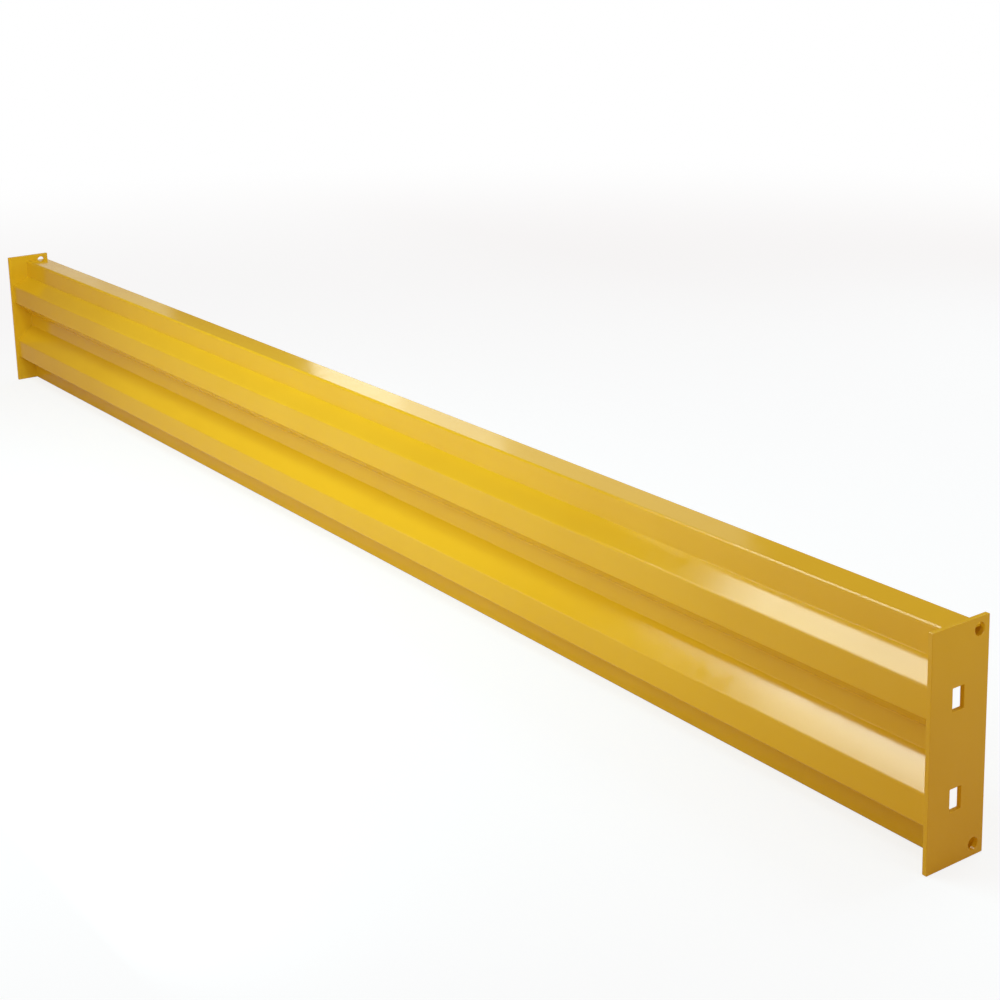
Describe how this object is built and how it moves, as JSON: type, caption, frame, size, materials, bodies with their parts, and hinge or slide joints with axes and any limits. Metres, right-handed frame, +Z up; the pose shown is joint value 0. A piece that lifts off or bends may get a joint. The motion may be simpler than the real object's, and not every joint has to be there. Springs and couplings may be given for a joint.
{
  "type": "industrial guard rail",
  "caption": "Straight double-rib steel guard rail panel, open at the back, with a slotted flat plate welded on each end, painted yellow.",
  "frame": {"origin": "on the floor, under the middle of the rail's bounding box", "axes": "+X along the rail, +Y from the ribbed front to the open back, +Z up"},
  "size_m": [3.048, 0.1016, 0.3175],
  "materials": {
    "panel_paint": "glossy yellow powder coat",
    "plate_paint": "glossy yellow powder coat",
    "weld_paint": "yellow powder coat over weld beads"
  },
  "bodies": {
    "root": {"corrugated_panel": "panel_paint", "end_plate_left": "plate_paint", "end_plate_right": "plate_paint", "weld_left_top_flange": "weld_paint", "weld_left_upper_face": "weld_paint", "weld_left_upper_rib": "weld_paint", "weld_left_middle_web": "weld_paint", "weld_left_lower_rib": "weld_paint", "weld_left_lower_face": "weld_paint", "weld_left_bottom_flange": "weld_paint", "weld_right_top_flange": "weld_paint", "weld_right_upper_face": "weld_paint", "weld_right_upper_rib": "weld_paint", "weld_right_middle_web": "weld_paint", "weld_right_lower_rib": "weld_paint", "weld_right_lower_face": "weld_paint", "weld_right_bottom_flange": "weld_paint"}
  },
  "joints": []
}
